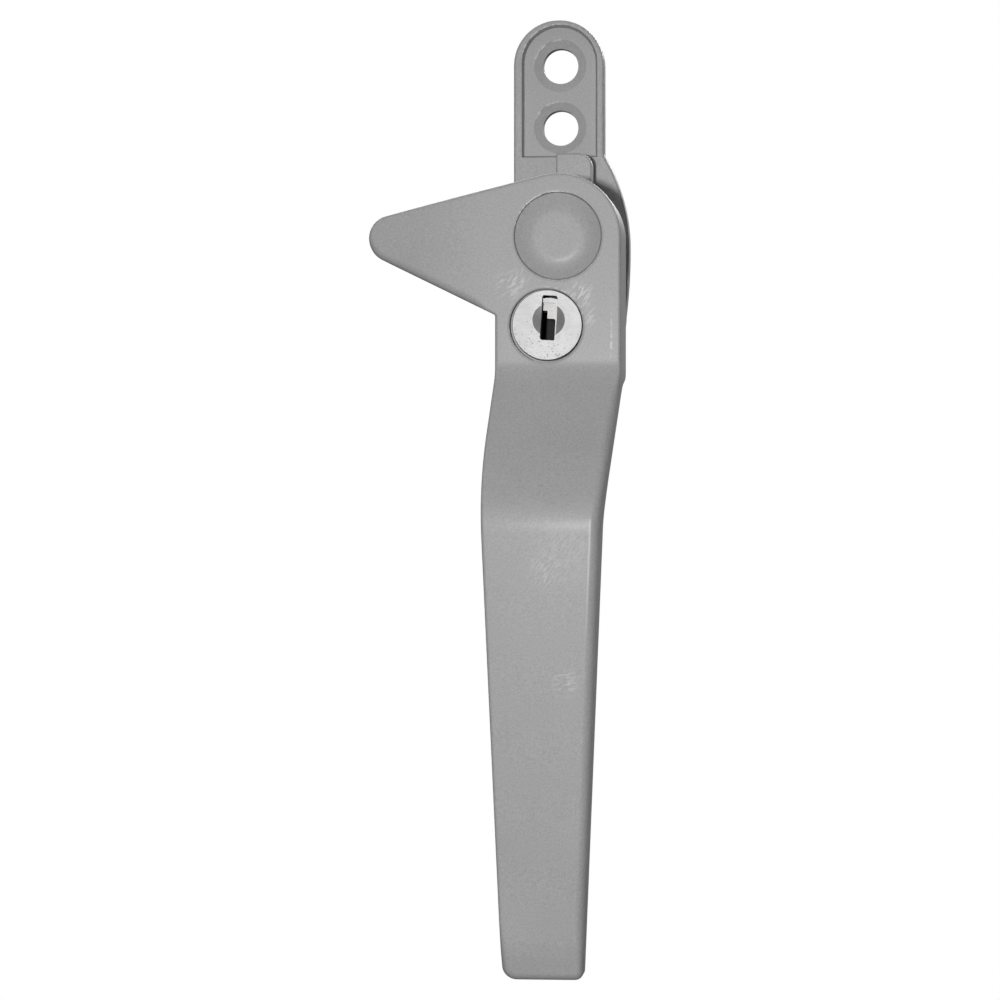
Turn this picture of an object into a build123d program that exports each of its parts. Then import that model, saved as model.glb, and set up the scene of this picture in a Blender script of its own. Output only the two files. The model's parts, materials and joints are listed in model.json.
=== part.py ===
from build123d import *
import math
import os

# A keyed cockspur window lock: a die-cast handle that swings on a raised base,
# with a spur that catches behind the frame's striker and a wafer lock in its head.
# Millimetres. X is to the right, Z is up, and the sash face is the plane Y = 0.
# A depth is the distance in front of the sash, so a depth d lies at Y = -d.
# The pivot's axis is the line X = 0, Z = 0.

FIT = 0.02              # radial gap of a pressed or seated fit
RUN = 0.05              # radial gap of a running fit, and gap at a rubbing face
TRACK_GAP = 0.15        # side room of the peg and the stop pin in their tracks
TRACK_DEEPER = 0.4      # room under their ends

# Base casting
BASE_LEFT = -9.45
BASE_RIGHT = 9.2
FOOT_RIGHT = 8.55
BASE_THICK = 4.4
BASE_EDGE = 0.4         # rounding of the plate's front edge
FOOT_TOP = -11.0        # where the rounded lower end of the plate starts
TONGUE_RIGHT = 5.1
TONGUE_FOOT = 15.1      # the tongue widens into the base below this height
TONGUE_X = (BASE_LEFT + TONGUE_RIGHT) / 2
TONGUE_R = (TONGUE_RIGHT - BASE_LEFT) / 2
FLARE_BULGE = (7.9, 8.8)   # a point on the curve where the tongue widens
FOOT_BULGE = (9.05, -5.5)  # a point on the curve where the base narrows to its foot
CORE_DEPTH = 12.0       # the base is cored out from behind to this depth
SIDE_CORE = (2.0, 9.0)
SIDE_CORE_AT = (6.2, -2.0)
SIDE_CORE_R = 0.9
LOW_CORE = (8.0, 3.6)
LOW_CORE_AT = (0.6, -10.4)
LOW_CORE_R = 1.2
HOLE_X = -2.0
HOLE_TOP = 29.6
HOLE_PITCH = 10.0
HOLE_R = 2.85
SINK_R = 4.2
SINK_DEEP = 0.5
SINK_STEP = 0.2         # the screw heads' seats start this far below the panel
PANEL_HALF = 6.12       # half width of the tongue's sunk panel
PANEL_SHIFT = 0.12      # the panel lies this far right of the tongue's middle
PANEL_RISE = 0.4        # and its round end is centred this far above the top hole
PANEL_DRAFT = 0.35      # the panel is this much smaller all round at its floor
PANEL_DEPTH = 3.1
PANEL_FOOT = 14.7
RIB_LEFT = -2.05
RIB_RIGHT = 3.6
RIB_TOP = 14.7
RIB_DEPTH = 11.5
RIB_FOOT = 4.0
RIB_CORNER_R = 1.9
RIB_EDGE = 0.3
ROOT = 1.0              # the rib and the stack grow from this depth inside the plate
STACK_R = 8.6
STACK_HALF = 8.2
STACK_END_R = 15.2      # the stack's lower end is an arc about the pivot
STACK_TOP = 20.2
STACK_EDGE = 0.3

# Pivot
SLEEVE_R = 4.0
SLEEVE_SEAT = 17.2
SLEEVE_TOP = 29.5
BOLT_R = 2.5
BOLT_TAIL = 1.5
BOLT_HEAD_R = 4.4
BOLT_HEAD_TOP = 32.6
BOLT_KEY_FLATS = 3.0
BOLT_KEY_DEPTH = 1.5
BOLT_CHAMFER = 0.4
WASHER_TOP = 30.2
WASHER_R = 6.2
NUT_FLATS = 8.0
NUT_CHAMFER = 0.4
NUT_LOW = 1.2
NUT_TOP = 5.2
NUT_POCKET_GAP = 0.15
BOLT_GAP = 0.15         # radial gap of the bolt in the base and the sleeve
DISC_THICK = 0.5
DISC_GAP = 0.3          # radial gap of the disc spring about the sleeve
FRICTION_R = 6.0
STOP_RADIUS = 7.2
STOP_R = 0.8
STOP_LOW = 15.0
STOP_TOP = 22.4

# Handle casting
BACK = 21.0             # depth of the head's back face
FACE = 34.5             # depth of the head's front face
HEAD_R = 9.7
SPUR_TIP = (-25.85, -0.2)
SPUR_TIP_R = 3.6
SPUR_SLOPE = 26.1       # fall of the spur's lower edge, degrees
SPUR_BOW_X = -11.0      # the spur's face starts to fall away here
SPUR_BOW_R = 130.0
SPUR_ROOT_R = 0.5       # corner between the spur's lower edge and the head
NECK_TOP = -21.5
NECK_TOP_R = 20.0
NECK_LEFT = (-11.35, -38.5)
NECK_LEFT_R = 120.0
NECK_RIGHT = (7.12, -43.5)
NECK_RIGHT_R = 40.0
TIP_Z = -113.8
TIP_LEFT = -8.0
TIP_RIGHT = 4.26
TIP_CORNER_R = 2.0
CRANK_TOP = -20.9       # the face starts to slope forward here
CRANK_TOP_R = 6.5
CRANK_END = -38.5       # and runs into the grip here
CRANK_END_R = 28.0
CRANK_STEP = -21.6      # the back leaves the head here
CRANK_STEP_R = 0.5
CRANK_HOLLOW = (27.0, -22.9)    # depth and height of the hollow behind the neck
CRANK_HOLLOW_R = 3.0
CRANK_BACK_END = -39.6  # the neck's back runs into the grip's back here
CRANK_BACK_R = 14.0
GRIP_FRONT = 43.4
GRIP_BACK = 35.4
GRIP_FALL = 1.6         # the grip's face comes back this far by its lower end
TIP_FALL = 4.5          # length of the steeper slope at the grip's end
TIP_FALL_DEPTH = 2.0
TIP_FALL_R = 6.0
TIP_BACK_R = 0.6
RELIEF = ((-8.0, -50.0), (3.7, -50.0), (1.5, -106.0), (-5.4, -106.0))   # recess in the grip's back
RELIEF_R = 1.8
RELIEF_DEPTH = 3.0
EDGE_R = 1.0            # rounding of the handle's front edge
BUSH_R = 5.0
CAP_FLOOR = 28.6
CAP_BORE_R = 6.82
CAP_FLAT_R = 3.6        # flat middle of the pivot's cover
CAP_TOP = 34.95
CAP_CROWN = (34.72, 5.4)    # depth and radius of a point on the cover's rounded shoulder
CAP_RIM = 34.2
CAP_SKIRT_TOP = 32.6
CAP_LOW = 30.6
CAP_ROOM = (33.2, 5.8)  # depth and radius of the hollow behind the cover
CAP_GAP = 0.08
BEAD_SLOPE = 0.2        # the cover's bead slopes over this length
SNAP_R = 7.15
SNAP_LOW = 31.2
SNAP_TOP = 31.9

# Lock
LOCK_X = -1.65
LOCK_Z = -13.7
LOCK_TILT = 3.4         # the keyway leans this far clockwise, degrees
LOCK_MOUTH_R = 5.7
BARREL_R = 5.5
BARREL_LOW = 23.6
BARREL_TOP = 32.6
PLUG_R = 4.25
PLUG_LOW = 22.7
FLANGE_R = 5.4
FLANGE_EDGE = 0.08
FLANGE_LOW = 32.8
FLANGE_TOP = 34.35
KEYWAY = (2.4, 6.9)
KEYWAY_AT = (0.18, 1.12)
KEYWAY_END = 25.4
DISH_R = 2.5
DISH_AT = (0.2, 0.8)
DISH_FLOOR_R = 0.7
DISH_DEPTH = 0.8
GROOVE_R = 4.95         # reach of the barrel's grooves that the wafers drop into
WAFERS = 4
WAFER_FIRST = 31.4
WAFER_PITCH = 1.7
WAFER_THICK = 0.7
WAFER_WIDE = 3.2
WAFER_R = 4.15
WAFER_TRAVEL = 0.4
WINDOW_WIDE = 2.1
WINDOW_HIGH = 4.4
WINDOW_STEPS = (-1.1, -1.3, -0.95, -1.15)   # height of each wafer's window, as the key is cut
WINDOW_NOTCH = (0.8, 1.2)   # a step in the window's top left, for the key's ridge
EAR_U = 2.5
EAR_END = 3.1
EAR_LOW = -0.2
EAR_TOP = 0.5
SPRING_LOW = -2.4
SPRING_R = 0.42
SPRING_WIRE_R = 0.09
SPRING_PITCH = 0.48
POCKET_R = 0.65
CLIP_LOW = 22.9
CLIP_TOP = 23.5
CLIP_SEAT_R = 3.45
CLIP_R = 5.0
CAM_LOW = 21.2
CAM_R = 4.4
PEG_AT = 2.8            # throw of the locking peg from the lock's axis
PEG_R = 1.1
PEG_LOW = 17.0
TAIL_SIDE = 2.4
CAM_SCREW_R = 0.6
CAM_SCREW_HEAD_R = 1.5
PIN_R = 0.8
PIN_LOW = 24.2
PIN_TOP = 27.0


def slab(outline, low, high):
    """An outline drawn in X and Z, made solid between two depths."""
    return extrude(Plane.XZ.offset(low) * outline, high - low)


def post(radius, low, high, x=0.0, z=0.0):
    """A round bar square to the sash, between two depths."""
    return slab(Pos(x, z) * Circle(radius), low, high)


def turned(*profile):
    """A solid of revolution about the pivot, from (depth, radius) corners."""
    corners = [(-depth, radius) for depth, radius in profile]
    face = make_face(Polyline(*corners, close=True))
    return revolve(Plane.YZ * face, Axis.Y)


def rounded(corners):
    """A flat shape from (point, radius) corners; a radius of 0 leaves the corner sharp."""
    face = make_face(Polyline(*[point for point, radius in corners], close=True))
    for point, radius in corners:
        if radius:
            face = fillet(face.vertices().sort_by_distance((*point, 0))[0], radius)
    return face


def at_lock(shape):
    """Moves a shape made about the Y axis to the lock, with the keyway's lean."""
    return Pos(LOCK_X, 0, LOCK_Z) * Rot(0, LOCK_TILT, 0) * shape


def front_loop(solid):
    """The edges that bound the faces turned away from the sash."""
    facing = [face for face in solid.faces() if face.normal_at().Y < -0.5]
    edges = [edge for face in facing for edge in face.edges()]
    return [edge for edge in edges if sum(edge.is_same(other) for other in edges) == 1]


def base_outline():
    """The base plate: tongue, flare to the right, straight left side, round foot."""
    foot_x = (BASE_LEFT + FOOT_RIGHT) / 2
    foot_r = (FOOT_RIGHT - BASE_LEFT) / 2
    return make_face(
        ThreePointArc((BASE_LEFT, HOLE_TOP), (TONGUE_X, HOLE_TOP + TONGUE_R), (TONGUE_RIGHT, HOLE_TOP))
        + Line((TONGUE_RIGHT, HOLE_TOP), (TONGUE_RIGHT, TONGUE_FOOT))
        + ThreePointArc((TONGUE_RIGHT, TONGUE_FOOT), FLARE_BULGE, (BASE_RIGHT, 0))
        + ThreePointArc((BASE_RIGHT, 0), FOOT_BULGE, (FOOT_RIGHT, FOOT_TOP))
        + ThreePointArc((FOOT_RIGHT, FOOT_TOP), (foot_x, FOOT_TOP - foot_r), (BASE_LEFT, FOOT_TOP))
        + Line((BASE_LEFT, FOOT_TOP), (BASE_LEFT, HOLE_TOP))
    )


def stack_outline():
    """The raised stack: round about the pivot, drawn down to carry the locking notch."""
    skirt = Pos(0, -STACK_END_R / 2) * Rectangle(2 * STACK_HALF, STACK_END_R)
    return Circle(STACK_R) + (skirt & Circle(STACK_END_R))


def peg_track(low, high):
    """Room for the peg between its unlocked place below and its locked place at the left."""
    room = PEG_R + TRACK_GAP
    ring = Circle(PEG_AT + room) - Circle(PEG_AT - room)
    quarter = Pos(-PEG_AT, -PEG_AT) * Rectangle(2 * PEG_AT, 2 * PEG_AT)
    ends = Pos(-PEG_AT, 0) * Circle(room) + Pos(0, -PEG_AT) * Circle(room)
    return at_lock(slab((ring & quarter) + ends, low, high))


def panel_outline(inset, depth):
    """The tongue's sunk panel, drawn in by an inset, at a depth."""
    half = PANEL_HALF - inset
    foot = PANEL_FOOT + inset
    top = HOLE_TOP + PANEL_RISE
    middle = TONGUE_X + PANEL_SHIFT
    left, right = middle - half, middle + half
    return Plane.XZ.offset(depth) * make_face(
        ThreePointArc((left, top), (middle, top + half), (right, top))
        + Polyline((right, top), (right, foot), (left, foot), (left, top))
    )


def base_casting():
    plate = slab(base_outline(), 0, BASE_THICK)
    plate = fillet(front_loop(plate), BASE_EDGE)
    plate -= loft([panel_outline(PANEL_DRAFT, PANEL_DEPTH), panel_outline(0, BASE_THICK)])
    for row in range(2):
        hole_z = HOLE_TOP - row * HOLE_PITCH
        plate -= post(HOLE_R, 0, BASE_THICK, HOLE_X, hole_z)
        seat = PANEL_DEPTH - SINK_STEP
        plate -= post(SINK_R, seat, PANEL_DEPTH, HOLE_X, hole_z)
        sink = Plane.XZ.offset(seat - SINK_DEEP / 2) * Pos(HOLE_X, hole_z)
        plate -= sink * Cone(HOLE_R, SINK_R, SINK_DEEP)

    rib_x = (RIB_LEFT + RIB_RIGHT) / 2
    rib_face = Pos(rib_x, (RIB_TOP + RIB_FOOT) / 2) * Rectangle(RIB_RIGHT - RIB_LEFT, RIB_TOP - RIB_FOOT)
    right_corner = rib_face.vertices().sort_by(Axis.Y)[-2:].sort_by(Axis.X)[-1]
    rib_face = fillet(right_corner, RIB_CORNER_R)
    rib = slab(rib_face, ROOT, RIB_DEPTH)
    rib = fillet(rib.faces().sort_by(Axis.Y)[0].edges(), RIB_EDGE)

    stack = slab(stack_outline(), ROOT, STACK_TOP)
    stack = chamfer(front_loop(stack), STACK_EDGE)
    body = plate + rib + stack

    body -= post(BOLT_R + BOLT_GAP, 0, STACK_TOP)
    body -= post(SLEEVE_R + FIT, SLEEVE_SEAT, STACK_TOP)
    nut_room = RegularPolygon(NUT_FLATS / 2 + NUT_POCKET_GAP, 6, major_radius=False)
    body -= slab(nut_room, 0, NUT_TOP)
    body -= post(STOP_R + FIT, STOP_LOW, STACK_TOP, 0, STOP_RADIUS)
    body -= peg_track(PEG_LOW - TRACK_DEEPER, STACK_TOP)
    # The casting is cored out from behind on each side of the nut.
    core_x, core_z = SIDE_CORE_AT
    for side in (-1, 1):
        core = Pos(side * core_x, core_z) * RectangleRounded(*SIDE_CORE, SIDE_CORE_R)
        body -= slab(core, 0, CORE_DEPTH)
    body -= slab(Pos(*LOW_CORE_AT) * RectangleRounded(*LOW_CORE, LOW_CORE_R), 0, CORE_DEPTH)
    return body


def spur_lines():
    """The spur's outline: from the head's arc, round the tip, and back to the head's left side."""
    tip_x, tip_z = SPUR_TIP
    reach = math.hypot(tip_x, tip_z)
    along = (-tip_x / reach, -tip_z / reach)
    up = (-along[1], along[0])
    lean = (HEAD_R - SPUR_TIP_R) / reach
    rise = math.sqrt(1 - lean ** 2)
    normal = (up[0] * rise - along[0] * lean, up[1] * rise - along[1] * lean)
    head_touch = (HEAD_R * normal[0], HEAD_R * normal[1])
    tip_top = (tip_x + SPUR_TIP_R * normal[0], tip_z + SPUR_TIP_R * normal[1])
    slope = math.radians(SPUR_SLOPE)
    tip_low = (tip_x - SPUR_TIP_R * math.sin(slope), tip_z - SPUR_TIP_R * math.cos(slope))
    corner = (-HEAD_R, tip_low[1] - (-HEAD_R - tip_low[0]) * math.tan(slope))
    return head_touch, tip_top, tip_low, corner


def handle_outline():
    """The handle seen from the front: head, spur, cranked neck and tapering grip."""
    head_touch, tip_top, tip_low, corner = spur_lines()
    crown_angle = math.radians(60)
    crown = (HEAD_R * math.cos(crown_angle), HEAD_R * math.sin(crown_angle))
    sides = FilletPolyline(
        (HEAD_R, 0), (HEAD_R, NECK_TOP), NECK_RIGHT, (TIP_RIGHT, TIP_Z), (TIP_LEFT, TIP_Z),
        NECK_LEFT, (-HEAD_R, NECK_TOP), corner, tip_low,
        radius=[
            NECK_TOP_R, NECK_RIGHT_R, TIP_CORNER_R, TIP_CORNER_R, NECK_LEFT_R, NECK_TOP_R, SPUR_ROOT_R,
        ],
    )
    tip_end = (SPUR_TIP[0] - SPUR_TIP_R, SPUR_TIP[1])
    return make_face(
        sides
        + ThreePointArc(tip_low, tip_end, tip_top)
        + Line(tip_top, head_touch)
        + ThreePointArc(head_touch, crown, (HEAD_R, 0))
    )


def handle_profile():
    """The handle seen from the side: flat head, cranked neck, grip with a rounded end."""
    top = HEAD_R + 2
    low_front = GRIP_FRONT - GRIP_FALL
    corners = [
        ((FACE, top), 0), ((FACE, CRANK_TOP), CRANK_TOP_R), ((GRIP_FRONT, CRANK_END), CRANK_END_R),
        ((low_front, TIP_Z + TIP_FALL), TIP_FALL_R), ((low_front - TIP_FALL_DEPTH, TIP_Z), 0),
        ((GRIP_BACK - 0.2, TIP_Z), TIP_BACK_R), ((GRIP_BACK, CRANK_BACK_END), CRANK_BACK_R),
        (CRANK_HOLLOW, CRANK_HOLLOW_R), ((BACK, CRANK_STEP), CRANK_STEP_R), ((BACK, top), 0),
    ]
    return rounded([((-depth, z), radius) for (depth, z), radius in corners])


def handle_casting():
    span = 80.0
    side = extrude(Plane.YZ * handle_profile(), span / 2, both=True)
    body = slab(handle_outline(), BACK - 1, GRIP_FRONT + 2) & side
    # The spur's face falls away gently towards its tip.
    bow = Pos(SPUR_BOW_X, SPUR_BOW_R - FACE, 0) * Cylinder(SPUR_BOW_R, span)
    spur_room = Pos(SPUR_BOW_X - span / 2, -FACE, 0) * Box(span, 8, span / 2)
    body -= spur_room - bow
    body = fillet(front_loop(body), EDGE_R)

    body -= post(BUSH_R + FIT, BACK, CAP_FLOOR)
    body -= post(CAP_BORE_R, CAP_FLOOR, FACE)
    body -= post(SNAP_R, SNAP_LOW, SNAP_TOP)
    body -= post(BARREL_R + FIT, BACK, BARREL_TOP, LOCK_X, LOCK_Z)
    body -= post(LOCK_MOUTH_R, BARREL_TOP, FACE, LOCK_X, LOCK_Z)
    body -= at_lock(pin_bar(PIN_R + FIT, BACK))
    body -= stop_groove()
    relief = make_face(FilletPolyline(*RELIEF, radius=RELIEF_R, close=True))
    body -= slab(relief, BACK, GRIP_BACK + RELIEF_DEPTH)
    return body


def stop_groove():
    """The arc under the head that the stop pin runs in, from the top round to the right."""
    room = STOP_R + TRACK_GAP
    ring = Circle(STOP_RADIUS + room) - Circle(STOP_RADIUS - room)
    quarter = Pos(STOP_RADIUS, STOP_RADIUS) * Rectangle(2 * STOP_RADIUS, 2 * STOP_RADIUS)
    ends = Pos(0, STOP_RADIUS) * Circle(room) + Pos(STOP_RADIUS, 0) * Circle(room)
    return slab((ring & quarter) + ends, BACK, STOP_TOP + TRACK_DEEPER)


def pivot_bolt():
    bolt = turned(
        (BOLT_TAIL, 0), (BOLT_TAIL, BOLT_R - BOLT_CHAMFER), (BOLT_TAIL + BOLT_CHAMFER, BOLT_R),
        (WASHER_TOP, BOLT_R), (WASHER_TOP, BOLT_HEAD_R), (BOLT_HEAD_TOP - BOLT_CHAMFER, BOLT_HEAD_R),
        (BOLT_HEAD_TOP, BOLT_HEAD_R - BOLT_CHAMFER), (BOLT_HEAD_TOP, 0),
    )
    key_room = RegularPolygon(BOLT_KEY_FLATS / 2, 6, major_radius=False)
    return bolt - slab(key_room, BOLT_HEAD_TOP - BOLT_KEY_DEPTH, BOLT_HEAD_TOP)


def pivot_nut():
    flats = slab(RegularPolygon(NUT_FLATS / 2, 6, major_radius=False), NUT_LOW, NUT_TOP)
    corner_r = NUT_FLATS / math.sqrt(3)
    rounded = turned(
        (NUT_LOW, 0), (NUT_LOW, NUT_FLATS / 2), (NUT_LOW + NUT_CHAMFER, corner_r + 0.1),
        (NUT_TOP, corner_r + 0.1), (NUT_TOP, 0),
    )
    return (flats & rounded) - post(BOLT_R + FIT, NUT_LOW, NUT_TOP)


def tube(outer, inner, low, high):
    """A plain ring about the pivot."""
    return turned((low, inner), (low, outer), (high, outer), (high, inner))


def spring_washer():
    """A disc spring: its outer edge rubs the handle and its inner edge meets the flat washer."""
    low = CAP_FLOOR + RUN
    high = SLEEVE_TOP
    inner = SLEEVE_R + DISC_GAP
    return turned((low, WASHER_R), (low + DISC_THICK, WASHER_R), (high, inner), (high - DISC_THICK, inner))


def pivot_cap():
    """The snap-in cover: flat in the middle, rounding down to its rim, on a beaded skirt."""
    rim_r = CAP_BORE_R - CAP_GAP
    skirt_r = rim_r - 0.2
    bead_r = SNAP_R - 0.15
    bead_low = -SNAP_LOW - 0.1
    bead_top = 0.1 - SNAP_TOP
    room_depth, room_r = CAP_ROOM
    crown_depth, crown_r = CAP_CROWN
    inside = Polyline(
        (-CAP_TOP, 0), (-room_depth, 0), (-room_depth, room_r), (-CAP_LOW, room_r),
        (-CAP_LOW, skirt_r - BEAD_SLOPE), (-CAP_LOW - 0.3, skirt_r), (bead_low, skirt_r),
        (bead_low - BEAD_SLOPE, bead_r), (bead_top + BEAD_SLOPE, bead_r), (bead_top, skirt_r),
        (-CAP_SKIRT_TOP, rim_r), (-CAP_RIM, rim_r),
    )
    crown = ThreePointArc(inside @ 1, (-crown_depth, crown_r), (-CAP_TOP, CAP_FLAT_R))
    face = make_face(inside + crown + Line(crown @ 1, inside @ 0))
    return revolve(Plane.YZ * face, Axis.Y)


def lock_barrel():
    body = slab(Circle(BARREL_R) - Circle(PLUG_R + RUN), BARREL_LOW, BARREL_TOP)
    groove = Pos(0, GROOVE_R / 2) * Rectangle(WAFER_WIDE + 0.4, GROOVE_R)
    for turn in range(4):
        body -= slab(Rot(0, 0, 90 * turn) * groove, KEYWAY_END, BARREL_TOP)
    body -= pin_bar(PIN_R + FIT, BACK)
    return at_lock(body)


def pin_bar(radius, low):
    """The dowel that keys the barrel to the casting, half in each, or the hole for it."""
    angle = math.radians(-45)
    return post(radius, low, PIN_TOP, BARREL_R * math.cos(angle), BARREL_R * math.sin(angle))


def wafer_depth(index):
    """Depth of the middle of a wafer; the first is nearest the lock's face."""
    return WAFER_FIRST - index * WAFER_PITCH


def lock_plug():
    body = post(PLUG_R, PLUG_LOW, FLANGE_LOW) + post(FLANGE_R, FLANGE_LOW, FLANGE_TOP)
    body = chamfer(front_loop(body), FLANGE_EDGE)
    body += slab(Rectangle(TAIL_SIDE, TAIL_SIDE), CAM_LOW + RUN, PLUG_LOW)
    body -= slab(Pos(*KEYWAY_AT) * RectangleRounded(*KEYWAY, 0.4), FLANGE_LOW, FLANGE_TOP)
    inner_high = KEYWAY[1] - 1.1
    body -= slab(Pos(0, 0.6) * RectangleRounded(KEYWAY[0], inner_high, 0.4), KEYWAY_END, FLANGE_LOW)
    dish = Plane.XZ.offset(FLANGE_TOP - DISH_DEPTH / 2) * Pos(*DISH_AT)
    body -= dish * Cone(DISH_FLOOR_R, DISH_R, DISH_DEPTH)
    for index in range(WAFERS):
        middle = wafer_depth(index)
        half = WAFER_THICK / 2 + RUN
        body -= slab(Rectangle(WAFER_WIDE + 0.1, 2 * PLUG_R + 1), middle - half, middle + half)
        ear_high = EAR_TOP - EAR_LOW + WAFER_TRAVEL + 0.3
        ear_room = Pos(EAR_END / 2 + 0.05, EAR_LOW - 0.15 + ear_high / 2)
        body -= slab(ear_room * Rectangle(EAR_END + 0.1, ear_high), middle - half, middle + half)
        pocket = Pos(EAR_U, -middle, (SPRING_LOW - 0.1 + EAR_LOW) / 2)
        body -= pocket * Cylinder(POCKET_R, EAR_LOW - SPRING_LOW + 0.1)
    body -= slab(Circle(PLUG_R + 1) - Circle(CLIP_SEAT_R), CLIP_LOW - RUN, CLIP_TOP + RUN)
    body -= post(CAM_SCREW_R + FIT, CAM_LOW, KEYWAY_END - 0.6)
    return at_lock(body)


def wafer(index):
    face = Rectangle(WAFER_WIDE, 2 * WAFER_R) & Circle(WAFER_R)
    ear = Pos(EAR_END / 2, (EAR_LOW + EAR_TOP) / 2) * Rectangle(EAR_END, EAR_TOP - EAR_LOW)
    face += ear
    face -= Pos(0, WINDOW_STEPS[index]) * RectangleRounded(WINDOW_WIDE, WINDOW_HIGH, 0.3)
    notch_wide, notch_high = WINDOW_NOTCH
    notch_at = Pos((notch_wide - WINDOW_WIDE) / 2, WINDOW_STEPS[index] + WINDOW_HIGH / 2)
    face -= notch_at * Rectangle(notch_wide, 2 * notch_high)
    middle = wafer_depth(index)
    return at_lock(slab(face, middle - WAFER_THICK / 2, middle + WAFER_THICK / 2))


def wafer_spring(index):
    high = EAR_LOW - SPRING_LOW - 2 * SPRING_WIRE_R - 0.06
    path = Helix(SPRING_PITCH, high, SPRING_R)
    start = Plane(origin=path @ 0, z_dir=path % 0)
    coil = sweep(start * Circle(SPRING_WIRE_R), path=path)
    return at_lock(Pos(EAR_U, -wafer_depth(index), SPRING_LOW + SPRING_WIRE_R + 0.03) * coil)


def plug_clip():
    ring = Circle(CLIP_R) - Circle(CLIP_SEAT_R + FIT)
    mouth = Pos(0, -CLIP_R) * Rectangle(2 * CLIP_SEAT_R - 1.2, 2 * CLIP_R)
    scoops = [Pos(side * CLIP_R * 0.8, CLIP_R * 0.35) * Circle(0.7) for side in (-1, 1)]
    return at_lock(slab(ring - mouth - scoops, CLIP_LOW, CLIP_TOP))


def lock_cam():
    disc = Circle(CAM_R) - Rectangle(TAIL_SIDE + 2 * FIT, TAIL_SIDE + 2 * FIT)
    body = slab(disc, CAM_LOW, PLUG_LOW - RUN)
    peg = post(PEG_R, PEG_LOW, CAM_LOW + 0.5, 0, -PEG_AT)
    peg = chamfer(peg.edges().sort_by(Axis.Y)[-1], 0.25)
    return at_lock(body + peg)


def cam_screw():
    head_low = CAM_LOW - 0.5
    body = post(CAM_SCREW_R, CAM_LOW, KEYWAY_END - 0.8)
    head = post(CAM_SCREW_HEAD_R, head_low, CAM_LOW)
    head -= slab(Rectangle(2.2, 0.4) + Rectangle(0.4, 2.2), head_low, head_low + 0.3)
    return at_lock(body + head)


def barrel_pin():
    return at_lock(pin_bar(PIN_R, PIN_LOW))


def stop_pin():
    pin = post(STOP_R, STOP_LOW, STOP_TOP, 0, STOP_RADIUS)
    return chamfer(pin.edges().filter_by(GeomType.CIRCLE), 0.2)


nodes = {
    "base_casting": base_casting(),
    "stop_pin": stop_pin(),
    "friction_washer": tube(FRICTION_R, SLEEVE_R + 0.2, STACK_TOP, BACK - RUN),
    "pivot_sleeve": tube(SLEEVE_R, BOLT_R + BOLT_GAP, SLEEVE_SEAT, SLEEVE_TOP),
    "pivot_bolt": pivot_bolt(),
    "flat_washer": tube(WASHER_R, BOLT_R + BOLT_GAP, SLEEVE_TOP, WASHER_TOP),
    "spring_washer": spring_washer(),
    "pivot_nut": pivot_nut(),
    "handle_casting": handle_casting(),
    "handle_bush": tube(BUSH_R, SLEEVE_R + RUN, BACK, CAP_FLOOR),
    "pivot_cap": pivot_cap(),
    "lock_barrel": lock_barrel(),
    "barrel_pin": barrel_pin(),
    "lock_plug": lock_plug(),
    "plug_clip": plug_clip(),
    "lock_cam": lock_cam(),
    "cam_screw": cam_screw(),
}
for number in range(WAFERS):
    nodes[f"wafer_{number + 1}"] = wafer(number)
    nodes[f"wafer_spring_{number + 1}"] = wafer_spring(number)

os.makedirs("parts", exist_ok=True)
for name, shape in nodes.items():
    export_step(shape, f"parts/{name}.step")
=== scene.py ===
import json
import math

import bmesh
import bpy
import numpy as np
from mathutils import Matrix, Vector
from mathutils.geometry import delaunay_2d_cdt


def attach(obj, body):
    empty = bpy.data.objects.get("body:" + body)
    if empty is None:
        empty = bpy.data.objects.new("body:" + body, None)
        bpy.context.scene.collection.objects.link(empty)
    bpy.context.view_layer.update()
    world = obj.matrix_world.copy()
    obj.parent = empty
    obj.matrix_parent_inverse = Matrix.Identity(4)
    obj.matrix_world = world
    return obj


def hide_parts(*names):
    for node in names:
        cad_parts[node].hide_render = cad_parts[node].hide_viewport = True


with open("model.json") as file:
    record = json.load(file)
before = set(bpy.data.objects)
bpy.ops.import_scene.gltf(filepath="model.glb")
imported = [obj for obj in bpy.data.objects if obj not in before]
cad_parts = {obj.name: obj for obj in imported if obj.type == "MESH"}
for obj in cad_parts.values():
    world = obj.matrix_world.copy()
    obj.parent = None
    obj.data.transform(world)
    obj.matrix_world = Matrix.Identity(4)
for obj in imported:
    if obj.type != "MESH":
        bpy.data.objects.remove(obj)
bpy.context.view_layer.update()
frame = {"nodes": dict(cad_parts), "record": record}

# The looks of a keyed cockspur window lock. Metres, in the CAD model's frame:
# X right, Z up, the sash face is Y = 0 and the pivot's axis is X = 0, Z = 0.

MM = 0.001
NODES = frame["nodes"]


# ---------------------------------------------------------------- shader helpers

def new_material(name):
    """An empty node material with a Principled shader; returns (material, nodes, links, shader)."""
    material = bpy.data.materials.new(name)
    material.use_nodes = True
    nodes = material.node_tree.nodes
    links = material.node_tree.links
    nodes.clear()
    shader = nodes.new("ShaderNodeBsdfPrincipled")
    output = nodes.new("ShaderNodeOutputMaterial")
    links.new(shader.outputs["BSDF"], output.inputs["Surface"])
    return material, nodes, links, shader


def object_coords(nodes, links, scale=(1, 1, 1)):
    """The object's own coordinates, stretched by scale."""
    coords = nodes.new("ShaderNodeTexCoord")
    mapping = nodes.new("ShaderNodeMapping")
    mapping.inputs["Scale"].default_value = scale
    links.new(coords.outputs["Object"], mapping.inputs["Vector"])
    return mapping.outputs["Vector"]


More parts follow.
